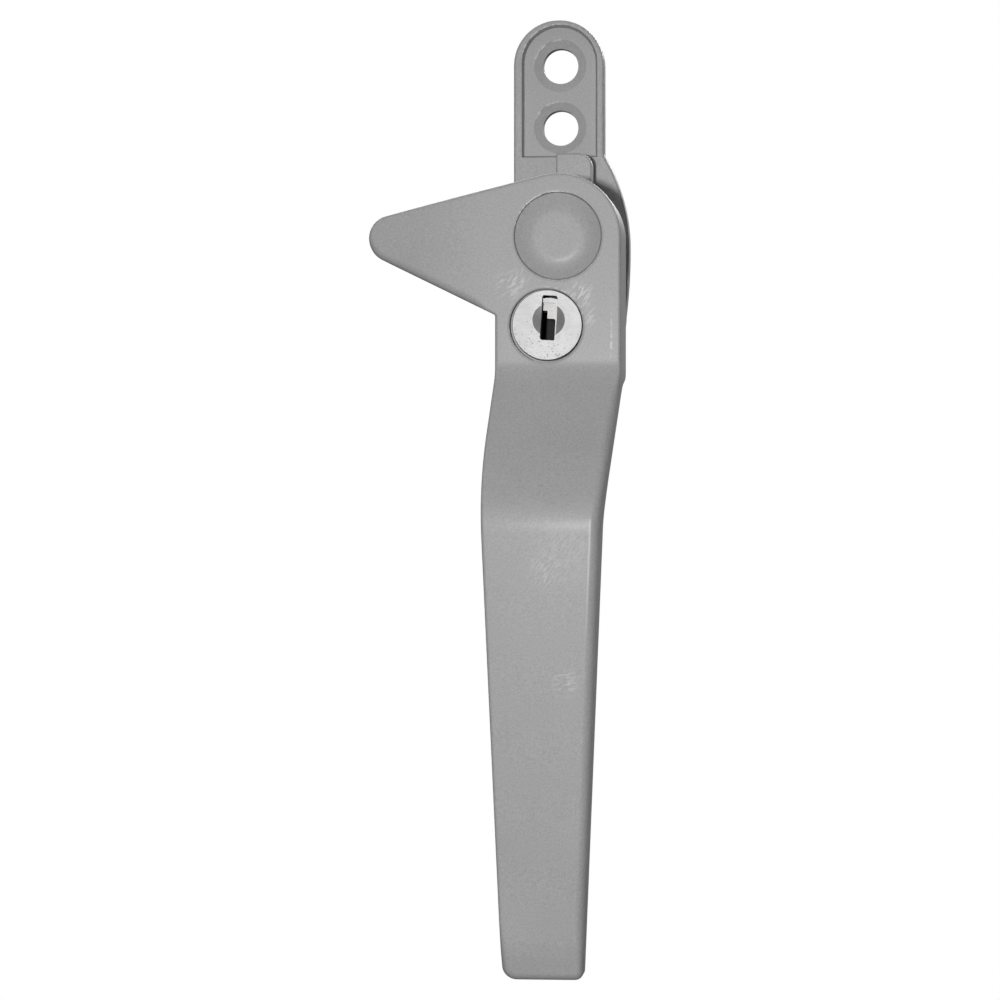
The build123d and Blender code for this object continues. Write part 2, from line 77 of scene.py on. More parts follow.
def noise(nodes, links, vector, scale, detail=2.0, roughness=0.5):
    """The value of a noise texture."""
    node = nodes.new("ShaderNodeTexNoise")
    node.inputs["Scale"].default_value = scale
    node.inputs["Detail"].default_value = detail
    node.inputs["Roughness"].default_value = roughness
    links.new(vector, node.inputs["Vector"])
    return node.outputs["Fac"]


def ramp(nodes, links, value, stops):
    """A colour ramp over value; stops are (position, grey)."""
    node = nodes.new("ShaderNodeValToRGB")
    elements = node.color_ramp.elements
    for index, (position, grey) in enumerate(stops):
        element = elements[index] if index < 2 else elements.new(position)
        element.position = position
        element.color = (*grey, 1) if isinstance(grey, tuple) else (grey, grey, grey, 1)
    links.new(value, node.inputs["Fac"])
    return node.outputs["Color"]


def spread(nodes, links, value, low, high):
    """Maps 0..1 to low..high."""
    node = nodes.new("ShaderNodeMapRange")
    node.inputs["To Min"].default_value = low
    node.inputs["To Max"].default_value = high
    links.new(value, node.inputs["Value"])
    return node.outputs["Result"]


def blend_colours(nodes, links, mode, factor, first, second):
    """Mixes two colours; factor, first and second are sockets or plain values."""
    node = nodes.new("ShaderNodeMix")
    node.data_type = "RGBA"
    node.blend_type = mode
    for socket, value in ((node.inputs[0], factor), (node.inputs[6], first), (node.inputs[7], second)):
        if hasattr(value, "links"):
            links.new(value, socket)
        else:
            socket.default_value = value
    return node.outputs[2]


def bump(nodes, links, height, distance, strength=1.0, under=None):
    """A bump of height over the surface, on top of another bump if given."""
    node = nodes.new("ShaderNodeBump")
    node.inputs["Distance"].default_value = distance
    node.inputs["Strength"].default_value = strength
    links.new(height, node.inputs["Height"])
    if under is not None:
        links.new(under, node.inputs["Normal"])
    return node.outputs["Normal"]


def maths(nodes, links, operation, first, second=0.0):
    """One step of arithmetic; first and second are sockets or plain values."""
    node = nodes.new("ShaderNodeMath")
    node.operation = operation
    for socket, value in zip(node.inputs, (first, second)):
        if hasattr(value, "links"):
            links.new(value, socket)
        else:
            socket.default_value = value
    return node.outputs[0]


def fade(nodes, links, value, start, end, low=0.0, high=1.0):
    """Maps value from start..end smoothly to low..high."""
    node = nodes.new("ShaderNodeMapRange")
    node.interpolation_type = "SMOOTHSTEP"
    names = ("From Min", "From Max", "To Min", "To Max")
    for name, number in zip(names, (start, end, low, high)):
        node.inputs[name].default_value = number
    links.new(value, node.inputs["Value"])
    return node.outputs["Result"]


def depth_and_height(nodes, links, coords):
    """How far in front of the sash, and how high, in metres."""
    split = nodes.new("ShaderNodeSeparateXYZ")
    links.new(coords, split.inputs["Vector"])
    return maths(nodes, links, "MULTIPLY", split.outputs["Y"], -1.0), split.outputs["Z"]


def near(nodes, links, coords, centre, reach, core=0.2):
    """1 close to a point given in millimetres, fading to 0 at reach."""
    node = nodes.new("ShaderNodeVectorMath")
    node.operation = "DISTANCE"
    links.new(coords, node.inputs[0])
    node.inputs[1].default_value = Vector(centre) * MM
    return fade(nodes, links, node.outputs["Value"], reach * core * MM, reach * MM, 1.0, 0.0)


def scratches(nodes, links, coords, lean, scale, threshold):
    """Short fine scratches that lean this many degrees from upright, as seen from the front."""
    mapping = nodes.new("ShaderNodeMapping")
    mapping.inputs["Rotation"].default_value = (0, math.radians(-lean), 0)
    links.new(coords, mapping.inputs["Vector"])
    stretch = nodes.new("ShaderNodeMapping")
    stretch.inputs["Scale"].default_value = (1, 1, 0.22)
    links.new(mapping.outputs["Vector"], stretch.inputs["Vector"])
    lines = noise(nodes, links, stretch.outputs["Vector"], scale, 3.0, 0.6)
    return fade(nodes, links, lines, threshold, threshold + 0.08)


def rim_chip_and_glint_mask(nodes, links, coords, centre, radius, toward, width=0.16):
    """Bright patches along part of a round rim in the front face: chips of wear, and painted glints; toward
    is (x, z).
    """
    split = nodes.new("ShaderNodeSeparateXYZ")
    links.new(coords, split.inputs["Vector"])
    x = maths(nodes, links, "SUBTRACT", split.outputs["X"], centre[0] * MM)
    z = maths(nodes, links, "SUBTRACT", split.outputs["Z"], centre[1] * MM)
    reach = maths(nodes, links, "SQRT", maths(
        nodes, links, "ADD", maths(nodes, links, "MULTIPLY", x, x), maths(nodes, links, "MULTIPLY", z, z)
    ))
    off = maths(nodes, links, "ABSOLUTE", maths(nodes, links, "SUBTRACT", reach, radius * MM))
    band = fade(nodes, links, off, width * 0.4 * MM, width * MM, 1.0, 0.0)
    along = maths(
        nodes, links, "ADD", maths(nodes, links, "MULTIPLY", x, toward[0]),
        maths(nodes, links, "MULTIPLY", z, toward[1]),
    )
    side = fade(nodes, links, along, radius * 0.62 * MM, radius * 0.9 * MM)
    patchy = fade(nodes, links, noise(nodes, links, coords, 1500, 2.0), 0.42, 0.56)
    return maths(nodes, links, "MULTIPLY", maths(nodes, links, "MULTIPLY", band, side), patchy)


# ---------------------------------------------------------------- materials

PAINT_GREY = 0.375
WORN_AND_GLINT_GREY = (0.72, 0.72, 0.72, 1)      # worn paint, and painted highlights and glints
UPPER_LEFT = (-0.6, 0.8)


def painted_metal(name, grey, marks=()):
    """Satin stoved paint over a zinc casting: fine speckle, faint orange peel, marks of wear and painted
    highlights.

    Each mark takes (nodes, links, coords) and gives a 0..1 mask where the paint is made lighter: scuffed by
    wear, and painted with highlights and glints.
    """
    material, nodes, links, shader = new_material(name)
    coords = object_coords(nodes, links)
    speckle = noise(nodes, links, coords, 4200, 1.0)
    cloud = noise(nodes, links, coords, 90, 3.0)
    fine = ramp(nodes, links, speckle, [(0.25, grey * 0.88), (0.75, grey * 1.12)])
    wide = ramp(nodes, links, cloud, [(0.3, 0.97), (0.7, 1.03)])
    colour = blend_colours(nodes, links, "MULTIPLY", 1.0, fine, wide)
    # The marks blend toward a pale grey: real scuffs, and painted highlights and glints.
    for mark in marks:
        colour = blend_colours(nodes, links, "MIX", mark(nodes, links, coords), colour, WORN_AND_GLINT_GREY)
    links.new(colour, shader.inputs["Base Color"])
    links.new(spread(nodes, links, cloud, 0.36, 0.44), shader.inputs["Roughness"])
    shader.inputs["Specular IOR Level"].default_value = 0.16
    shader.inputs["Coat Weight"].default_value = 0.03
    shader.inputs["Coat Roughness"].default_value = 0.2
    peel = noise(nodes, links, coords, 900, 2.0)
    normal = bump(nodes, links, peel, 0.02 * MM, 0.35)
    normal = bump(nodes, links, speckle, 0.006 * MM, 0.5, normal)
    links.new(normal, shader.inputs["Normal"])
    return material


def scuffs_and_sheen(centre, reach, lean, strength, scale=2400, threshold=0.50):
    """A patch of fine pale scratches about a point: scratch wear, and on the grip also a painted sheen."""
    def mark(nodes, links, coords):
        patch = near(nodes, links, coords, centre, reach)
        lines = scratches(nodes, links, coords, lean, scale, threshold)
        return maths(nodes, links, "MULTIPLY", maths(nodes, links, "MULTIPLY", patch, lines), strength)
    return mark


def rim_chips_and_glints(centre, radius, toward, strength):
    """Pale chips of wear and painted glints along part of a round rim; see the mask above."""
    def mark(nodes, links, coords):
        rim = rim_chip_and_glint_mask(nodes, links, coords, centre, radius, toward)
        return maths(nodes, links, "MULTIPLY", rim, strength)
    return mark


def wear_and_highlight_line(start, end, strength, width=0.3, patchiness=0.56):
    """A narrow pale line between two (x, z) points on the front, fading at its far end: a line of wear, and
    also used as a painted highlight along an edge.
    """
    run = Vector(end) - Vector(start)
    length = run.length
    run.normalize()

    def mark(nodes, links, coords):
        split = nodes.new("ShaderNodeSeparateXYZ")
        links.new(coords, split.inputs["Vector"])
        x = maths(nodes, links, "SUBTRACT", split.outputs["X"], start[0] * MM)
        z = maths(nodes, links, "SUBTRACT", split.outputs["Z"], start[1] * MM)
        across = maths(nodes, links, "SUBTRACT", maths(nodes, links, "MULTIPLY", x, run.y),
                       maths(nodes, links, "MULTIPLY", z, run.x))
        along = maths(nodes, links, "ADD", maths(nodes, links, "MULTIPLY", x, run.x),
                      maths(nodes, links, "MULTIPLY", z, run.y))
        off = maths(nodes, links, "ABSOLUTE", across)
        band = fade(nodes, links, off, width * 0.2 * MM, width * MM, 1.0, 0.0)
        begin = fade(nodes, links, along, -0.4 * MM, 0.4 * MM)
        finish = fade(nodes, links, along, length * 0.1 * MM, length * MM, 1.0, 0.0)
        patchy = fade(nodes, links, noise(nodes, links, coords, 1700, 2.0), patchiness - 0.18, patchiness)
        mask = maths(nodes, links, "MULTIPLY", band, maths(nodes, links, "MULTIPLY", begin, finish))
        return maths(nodes, links, "MULTIPLY", maths(nodes, links, "MULTIPLY", mask, patchy), strength)
    return mark


HANDLE_MARKS = (
    scuffs_and_sheen((-7.4, -34.5, -7.6), 3.2, 55, 0.42),
    scuffs_and_sheen((-6.0, -34.5, -6.4), 2.2, 20, 0.35),
    scuffs_and_sheen((3.4, -34.5, -9.0), 2.8, 35, 0.55),
    scuffs_and_sheen((4.6, -34.5, -12.2), 2.4, 50, 0.35),
    scuffs_and_sheen((1.9, -42.6, -68.3), 2.9, 75, 0.40, 2600),
    # These two broad, faint patches are partly scratch wear and partly a painted highlight: they lighten the
    # grip's sheen just below the bend.
    scuffs_and_sheen((1.5, -43.0, -49.5), 7.0, 35, 0.16, 3600, 0.46),
    scuffs_and_sheen((-1.6, -43.0, -51.8), 3.4, 35, 0.22, 3600, 0.50),
    wear_and_highlight_line((8.2, -18.6), (8.35, -8.6), 0.55, 0.26),
    # Painted highlight: the bright line where the grip's right front edge starts to round off.
    wear_and_highlight_line((5.62, -43.6), (4.75, -66.0), 0.55, 0.24, 0.40),
    # On the cap's rim toward the upper left this is a painted glint, where the rim's edge catches the light;
    # the other rim marks are pale chips of wear.
    rim_chips_and_glints((0, 0), 6.82, (-0.5, 0.87), 0.9),
    rim_chips_and_glints((0, 0), 6.82, (0.3, -0.95), 0.35),
    rim_chips_and_glints((-1.7, -13.7), 5.8, (0.6, 0.8), 0.5),
    rim_chips_and_glints((-1.7, -13.7), 5.8, (-0.7, -0.7), 0.5),
)


def plated_metal(name, colour, low_rough, high_rough, shade_below=0.0, specks=False):
    """Plated metal with a fine grain, dark specks, and painted shade on all that lies deeper than the given
    depth in millimetres.
    """
    material, nodes, links, shader = new_material(name)
    coords = object_coords(nodes, links)
    lines = noise(nodes, links, object_coords(nodes, links, (1, 1, 3)), 1500, 3.0, 0.6)
    cloud = noise(nodes, links, coords, 260, 2.0)
    dull = tuple(channel * 0.88 for channel in colour)
    tone = ramp(nodes, links, lines, [(0.3, dull), (0.7, colour)])
    if specks:
        # More specks toward the bottom of the lock's face.
        _, height = depth_and_height(nodes, links, coords)
        fewer = fade(nodes, links, height, -19.0 * MM, -9.0 * MM, 0.0, 0.12)
        grains = maths(nodes, links, "ADD", noise(nodes, links, coords, 3600, 1.5), fewer)
        spots = fade(nodes, links, grains, 0.30, 0.40, 0.5, 1.0)
        tone = blend_colours(nodes, links, "MULTIPLY", 1.0, tone, spots)
    # Painted shade: all that lies deeper than this depth is darkened almost to black, standing in for the
    # shade down in the lock's bore.
    if shade_below:
        depth, _ = depth_and_height(nodes, links, coords)
        painted_shade = fade(nodes, links, depth, (shade_below - 0.3) * MM, shade_below * MM, 0.05, 1.0)
        tone = blend_colours(nodes, links, "MULTIPLY", 1.0, tone, painted_shade)
    links.new(tone, shader.inputs["Base Color"])
    links.new(spread(nodes, links, cloud, low_rough, high_rough), shader.inputs["Roughness"])
    shader.inputs["Metallic"].default_value = 1.0
    links.new(bump(nodes, links, lines, 0.004 * MM, 0.6), shader.inputs["Normal"])
    return material


def moulded_plastic(name, colour, roughness):
    """Moulded plastic with a faint mottled skin."""
    material, nodes, links, shader = new_material(name)
    coords = object_coords(nodes, links)
    skin = noise(nodes, links, coords, 1800, 2.0)
    dull = tuple(channel * 0.9 for channel in colour)
    links.new(ramp(nodes, links, skin, [(0.3, dull), (0.7, colour)]), shader.inputs["Base Color"])
    links.new(spread(nodes, links, skin, roughness - 0.06, roughness + 0.06), shader.inputs["Roughness"])
    links.new(bump(nodes, links, skin, 0.008 * MM, 0.5), shader.inputs["Normal"])
    return material


MATERIALS = {
    "painted_zinc": painted_metal("painted_zinc", PAINT_GREY, HANDLE_MARKS),
    "painted_cap": painted_metal("painted_cap", PAINT_GREY),
    # The 32.7 and 30.6 below are depths past which the chrome and nickel-brass parts get painted shade.
    "chrome": plated_metal("chrome", (0.46, 0.46, 0.46), 0.55, 0.62, 32.7, True),
    "zinc_plated_steel": plated_metal("zinc_plated_steel", (0.62, 0.62, 0.60), 0.25, 0.40),
    "spring_steel": plated_metal("spring_steel", (0.38, 0.38, 0.39), 0.28, 0.42),
    # Painted shade: this near-black colour on the lock's barrel makes the gap round the lock's face read as
    # deep shadow.
    "dark_zinc": moulded_plastic("dark_zinc", (0.02, 0.02, 0.02), 0.6),
    "nickel_brass": plated_metal("nickel_brass", (0.49, 0.485, 0.475), 0.55, 0.65, 30.6),
    "nylon": moulded_plastic("nylon", (0.80, 0.79, 0.75), 0.5),
    "acetal": moulded_plastic("acetal", (0.05, 0.05, 0.05), 0.4),
}

# Painted glints: bright patches on the upper-left edges of the panel's rim and the two countersinks, where
# those edges catch the light.
BASE_MARKS = (
    rim_chips_and_glints((-2.05, 30.0), 6.15, UPPER_LEFT, 0.7),
    rim_chips_and_glints((-2.0, 29.6), 4.2, UPPER_LEFT, 0.8),
    rim_chips_and_glints((-2.0, 19.6), 4.2, (-0.45, 0.89), 0.8),
)
PAINTED_BASE = painted_metal("painted_base", PAINT_GREY, BASE_MARKS)

for subpart in frame["record"]["subparts"]:
    node = NODES[subpart["node"]]
    node.data.materials.clear()
    node.data.materials.append(MATERIALS[subpart["material_slot"]])
    for polygon in node.data.polygons:
        polygon.material_index = 0
NODES["base_casting"].data.materials[0] = PAINTED_BASE


# ---------------------------------------------------------------- mesh helpers

# Outlines are drawn in millimetres, looking at the front: x to the right, z up.
# A depth is the distance in front of the sash, so a depth d lies at Y = -d.

def bent_line(corners, step, closed=True, bend=math.radians(5)):
    """Points along straight runs joined by arcs.

    corners are (point, radius); an open line starts and ends at its end corners.
    """
    count = len(corners)
    arcs = []
    for index, (point, radius) in enumerate(corners):
        here = Vector(point)
        if not closed and index in (0, count - 1):
            arcs.append([here])
            continue
        into = (here - Vector(corners[index - 1][0])).normalized()
        out = (Vector(corners[(index + 1) % count][0]) - here).normalized()
        turn = math.atan2(into.x * out.y - into.y * out.x, into.dot(out))
        start = here - into * radius * math.tan(abs(turn) / 2)
        side = math.copysign(1, turn)
        centre = start + Vector((-into.y, into.x)) * radius * side
        parts = max(2, math.ceil(abs(turn) / bend), math.ceil(abs(turn) * radius / step))
        spoke = start - centre
        arc = []
        for part in range(parts + 1):
            angle = turn * part / parts
            turned = Vector((
                spoke.x * math.cos(angle) - spoke.y * math.sin(angle),
                spoke.x * math.sin(angle) + spoke.y * math.cos(angle),
            ))
            arc.append(centre + turned)
        arcs.append(arc)
    points = []
    for index, arc in enumerate(arcs):
        points.extend(arc)
        if not closed and index == count - 1:
            break
        after = arcs[(index + 1) % count][0]
        run = after - arc[-1]
        parts = max(1, math.ceil(run.length / step))
        points.extend(arc[-1] + run * part / parts for part in range(1, parts))
    return points


def outward_normals(points):
    """Unit normals on the outside of a closed outline that runs anticlockwise."""
    normals = []
    for index, point in enumerate(points):
        into = (point - points[index - 1]).normalized()
        out = (points[(index + 1) % len(points)] - point).normalized()
        along = (into + out).normalized()
        normals.append(Vector((along.y, -along.x)))
    return normals


def circle_points(centre, radius, count):
    """Points evenly round a circle, anticlockwise from its right."""
    angles = [math.tau * index / count for index in range(count)]
    return [Vector((centre[0] + radius * math.cos(a), centre[1] + radius * math.sin(a))) for a in angles]


def ring(skin, points, depths):
    """New vertices at the points, at one depth or a list of depths."""
    if not hasattr(depths, "__len__"):
        depths = [depths] * len(points)
    return [skin.verts.new((p.x * MM, -d * MM, p.y * MM)) for p, d in zip(points, depths)]


def bridge(skin, first, second):
    """Quads between two closed rings of as many vertices."""
    for index in range(len(first)):
        after = (index + 1) % len(first)
        skin.faces.new((first[index], first[after], second[after], second[index]))


def chain(skin, rings):
    """Bridges each ring to the next."""
    for first, second in zip(rings, rings[1:]):
        bridge(skin, first, second)


def inside(points, loop):
    """Which rows of points lie inside a closed loop."""
    hit = np.zeros(len(points), bool)
    x, z = points[:, 0], points[:, 1]
    for (x0, z0), (x1, z1) in zip(loop, np.roll(loop, -1, axis=0)):
        crosses = (z0 > z) != (z1 > z)
        rise = (z1 - z0) or 1.0
        hit ^= crosses & (x < (x1 - x0) * (z - z0) / rise + x0)
    return hit


def distance_to(points, loop):
    """How far each row of points is from a closed loop."""
    nearest = np.full(len(points), np.inf)
    for start, end in zip(loop, np.roll(loop, -1, axis=0)):
        run = end - start
        share = np.clip((points - start) @ run / max(run @ run, 1e-12), 0, 1)
        nearest = np.minimum(nearest, np.hypot(*(points - start - share[:, None] * run).T))
    return nearest


def fill(skin, outer, holes, grid, depth, gap=0.25):
    """Triangles between an outer ring and hole rings, over grid points set at depth(x, z)."""
    loops = [outer, *holes]
    outlines = [np.array([(v.co.x / MM, v.co.z / MM) for v in loop]) for loop in loops]
    verts = [vert for loop in loops for vert in loop]
    border = np.concatenate(outlines)
    edges = []
    for loop in loops:
        start = len(edges)
        edges += [(start + i, start + (i + 1) % len(loop)) for i in range(len(loop))]
    keep = inside(grid, outlines[0])
    for outline in outlines[1:]:
        keep &= ~inside(grid, outline)
    grid = grid[keep]
    for outline in outlines if len(grid) else ():
        grid = grid[distance_to(grid, outline) > gap]
    flat = [Vector(point) for point in border] + [Vector(point) for point in grid]
    verts += [skin.verts.new((x * MM, -depth(x, z) * MM, z * MM)) for x, z in grid]
    spots, _, faces, origin, _, _ = delaunay_2d_cdt(flat, edges, [], 1, 1e-6)
    middles = np.array([np.mean([spots[i] for i in face], axis=0) for face in faces])
    keep = np.ones(len(faces), bool)
    for outline in outlines[1:]:
        keep &= ~inside(middles, outline)
    for face, wanted in zip(faces, keep):
        if wanted:
            skin.faces.new([verts[origin[i][0]] for i in face])


def rows(lines, left, right, step):
    """Grid points on level lines."""
    across = np.arange(left, right, step)
    return np.array([(x, z) for z in lines for x in across])


def make_piece(name, skin, body, slot, stands_for=None, sharp=35):
    """Turns a bmesh into a smooth-shaded piece that rides a body."""
    bmesh.ops.remove_doubles(skin, verts=skin.verts, dist=0.0001 * MM)
    bmesh.ops.recalc_face_normals(skin, faces=skin.faces)
    for face in skin.faces:
        face.smooth = True
    mesh = bpy.data.meshes.new(name)
    skin.to_mesh(mesh)
    skin.free()
    mesh.set_sharp_from_angle(angle=math.radians(sharp))
    piece = bpy.data.objects.new(name, mesh)
    bpy.context.scene.collection.objects.link(piece)
    mesh.materials.append(MATERIALS[slot])
    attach(piece, body)
    if stands_for:
        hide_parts(stands_for)
    return piece


def ease(value, low, high):
    """0 below low, 1 above high, and smooth between."""
    t = min(1.0, max(0.0, (value - low) / (high - low)))
    return t * t * (3 - 2 * t)


# ---------------------------------------------------------------- handle casting

HEAD_R = 9.7
FACE = 34.5
BACK = 21.0
SPUR_TIP = (-25.84, -0.2)
SPUR_TIP_R = 3.6
SPUR_SLOPE = math.radians(26.1)
SPUR_BOW_X = -11.0
SPUR_BOW_R = 130.0
NECK_TOP = -21.5
NECK_LEFT = (-11.35, -38.5)
NECK_RIGHT = (7.12, -43.5)
TIP_Z = -113.8
TIP_LEFT = -8.0
TIP_RIGHT = 4.26
FRONT_LINE = [((FACE, 20), 0), ((FACE, -20.9), 6.5), ((43.4, -38.5), 28), ((41.8, -109.3), 6),
              ((39.8, TIP_Z), 0)]
BACK_LINE = [((BACK, 20), 0), ((BACK, -21.6), 0.5), ((27.0, -22.9), 3), ((35.4, -39.6), 14),
             ((35.2, TIP_Z), 0)]
HEAD_EDGE = 0.42
SPUR_LOW_EDGE = 1.2
GRIP_EDGE = 1.45
GRIP_LEFT_EDGE = 0.45
TIP_EDGE = 1.1
BACK_EDGE = 0.35
GRIP_CROWN = 0.06
LOCK = (-1.65, -13.7)
LOCK_MOUTH = (-1.79, -13.78)
LOCK_TILT = math.radians(3.4)
TIP_LEFT_R = 2.2
TIP_RIGHT_R = 1.4
EDGE_STEPS = 8
EDGE_SUPPORT = 0.18     # a ring this far inside the rounded edge keeps the face's shading flat
WALL_STEPS = 5
BACK_STEPS = 3
LOCK_BORE_R = 5.52
LOCK_PIN_AT = 5.5       # the dowel's distance from the lock's axis
LOCK_PIN_R = 0.82
LOCK_MOUTH_R = 5.66
LOCK_SHOULDER = 32.6
LOCK_PIN_TOP = 27.0
CAP_BORE_R = 6.74
CAP_FIT = 0.04
CAP_TOP = 34.93
CAP_COUNT = 128
LOCK_COUNT = 144
SNAP_R = 7.15
SNAP_LOW = 31.2
SNAP_TOP = 31.9
BUSH_ROOM_R = 5.02
BUSH_ROOM_TOP = 28.6
GROOVE_AT = 7.2         # the stop groove's distance from the pivot
GROOVE_HALF = 0.95
GROOVE_FLOOR = 22.8
RELIEF = [((-8.0, -50), 1.8), ((-5.4, -106), 1.8), ((1.5, -106), 1.8), ((3.7, -50), 1.8)]
RELIEF_FLOOR = 38.4


def level_lookup(corners):
    """A function of z giving the depth of an open line of (depth, z) corners."""
    line = bent_line(corners, 0.3, closed=False, bend=math.radians(3))
    heights = np.array([-point.y for point in line])
    depths = np.array([point.x for point in line])
    return lambda z: float(np.interp(-z, heights, depths))


front_at = level_lookup(FRONT_LINE)
back_at = level_lookup(BACK_LINE)


def front_depth(x, z):
    """The handle's front surface: profile, the spur's bow and the grip's slight crown."""
    depth = front_at(z)
    if x < SPUR_BOW_X and z > -20:
        depth -= SPUR_BOW_R - math.sqrt(SPUR_BOW_R ** 2 - (x - SPUR_BOW_X) ** 2)
    down = (z - NECK_LEFT[1]) / (TIP_Z - NECK_LEFT[1])
    left = NECK_LEFT[0] + down * (TIP_LEFT - NECK_LEFT[0])
    right = NECK_RIGHT[0] + down * (TIP_RIGHT - NECK_RIGHT[0])
    offset = (x - (left + right) / 2) / ((right - left) / 2)
    return depth - GRIP_CROWN * ease(-z, 24, 42) * min(offset * offset, 1.2)


def edge_radius(point, normal):
    """How round the front edge is: crisp at the head and neck, softer on spur and grip."""
    low = ease(-normal.y, -0.4, 0.7) * ease(-point.x, 10.5, 14)
    spur = HEAD_EDGE + (SPUR_LOW_EDGE - HEAD_EDGE) * low * ease(point.y, -19, -15)
    grip_edge = GRIP_LEFT_EDGE + (GRIP_EDGE - GRIP_LEFT_EDGE) * ease(normal.x, -0.7, 0.7)
    grip = ease(-point.y, 19.5, 27)
    tip = ease(-point.y, 104, 111)
    return spur + (grip_edge - HEAD_EDGE) * grip + (TIP_EDGE - grip_edge) * tip


def handle_corners():
    """The handle's outline, anticlockwise, as (corner, radius)."""
    tip_x, tip_z = SPUR_TIP
    reach = math.hypot(tip_x, tip_z)
    along = Vector((-tip_x / reach, -tip_z / reach))
    up = Vector((-along.y, along.x))
    lean = (HEAD_R - SPUR_TIP_R) / reach
    normal = up * math.sqrt(1 - lean ** 2) - along * lean
    touch = normal * HEAD_R
    run = Vector((normal.y, -normal.x))
    top_right = touch + run * (HEAD_R - touch.x) / run.x
    low_touch = Vector((tip_x - SPUR_TIP_R * math.sin(SPUR_SLOPE), tip_z - SPUR_TIP_R * math.cos(SPUR_SLOPE)))
    fall = Vector((math.cos(SPUR_SLOPE), -math.sin(SPUR_SLOPE)))
    corner = low_touch + fall * (-HEAD_R - low_touch.x) / fall.x
    # Where the spur's upper and lower lines meet, beyond its round tip.
    gap = low_touch - touch
    cross = fall.x * run.y - fall.y * run.x
    apex = low_touch - fall * (gap.x * run.y - gap.y * run.x) / cross
    return [
        ((HEAD_R, NECK_TOP), 20), (tuple(top_right), HEAD_R), (tuple(apex), SPUR_TIP_R),
        (tuple(corner), 0.5), ((-HEAD_R, NECK_TOP), 20), (NECK_LEFT, 120), ((TIP_LEFT, TIP_Z), TIP_LEFT_R),
        ((TIP_RIGHT, TIP_Z), TIP_RIGHT_R), (NECK_RIGHT, 40),
    ]


def pivot_bore(skin):
    """The stepped hole about the pivot: the cap's seat, its snap groove and the bush's room."""
    steps = [
        (FACE, CAP_BORE_R + 0.4), (FACE, CAP_BORE_R + 0.1), (FACE - 0.03, CAP_BORE_R + 0.04),
        (FACE - 0.1, CAP_BORE_R), (SNAP_TOP, CAP_BORE_R), (SNAP_TOP, SNAP_R), (SNAP_LOW, SNAP_R),
        (SNAP_LOW, CAP_BORE_R), (BUSH_ROOM_TOP, CAP_BORE_R), (BUSH_ROOM_TOP, BUSH_ROOM_R),
        (BACK, BUSH_ROOM_R),
    ]
    rings = [ring(skin, circle_points((0, 0), radius, CAP_COUNT), depth) for depth, radius in steps]
    chain(skin, rings)
    return rings[0], rings[-1]


def pin_bore(skin):
    """The lock's bore, with room for half of its dowel in the lower part."""
    angle = math.radians(-45) - LOCK_TILT

    def outline(bulge):
        points = []
        for index in range(LOCK_COUNT):
            turn = math.tau * index / LOCK_COUNT
            off = math.sin(turn - angle)
            along = math.cos(turn - angle)
            radius = LOCK_BORE_R
            if bulge and along > 0 and abs(off) < LOCK_PIN_R / LOCK_PIN_AT:
                far = LOCK_PIN_AT * along + math.sqrt(LOCK_PIN_R ** 2 - (LOCK_PIN_AT * off) ** 2)
                radius = max(radius, far)
            points.append(Vector((LOCK[0] + radius * math.cos(turn), LOCK[1] + radius * math.sin(turn))))
        return points

    mouth = [
        (FACE, 6.1), (FACE, LOCK_MOUTH_R + 0.1), (FACE - 0.04, LOCK_MOUTH_R + 0.04),
        (FACE - 0.1, LOCK_MOUTH_R), (LOCK_SHOULDER, LOCK_MOUTH_R),
    ]
    rings = [ring(skin, circle_points(LOCK_MOUTH, radius, LOCK_COUNT), depth) for depth, radius in mouth]
    rings += [ring(skin, outline(False), depth) for depth in (LOCK_SHOULDER, LOCK_PIN_TOP)]
    rings += [ring(skin, outline(True), depth) for depth in (LOCK_PIN_TOP, BACK)]
    chain(skin, rings)
    return rings[0], rings[-1]


def pocket(skin, points, top, floor, grid):
    """A pocket sunk from the back; returns its rim for the back face to leave open."""
    rim = ring(skin, points, top)
    wall = ring(skin, points, floor)
    bridge(skin, rim, wall)
    fill(skin, wall, [], grid, lambda x, z: floor)
    return rim


def stop_groove(skin):
    """The arc groove that the stop pin runs in, from the top round to the right."""
    far = GROOVE_AT + GROOVE_HALF
    close = GROOVE_AT - GROOVE_HALF
    quarter = [math.radians(90 * part / 24) for part in range(25)]
    half = [math.pi * part / 8 for part in range(1, 8)]
    points = [Vector((far * math.cos(a), far * math.sin(a))) for a in quarter]
    points += [Vector((GROOVE_HALF * -math.sin(a), GROOVE_AT + GROOVE_HALF * math.cos(a))) for a in half]
    points += [Vector((close * math.cos(a), close * math.sin(a))) for a in quarter[::-1]]
    points += [Vector((GROOVE_AT - GROOVE_HALF * math.cos(a), -GROOVE_HALF * math.sin(a))) for a in half]
    return pocket(skin, points, BACK, GROOVE_FLOOR, np.zeros((0, 2)))


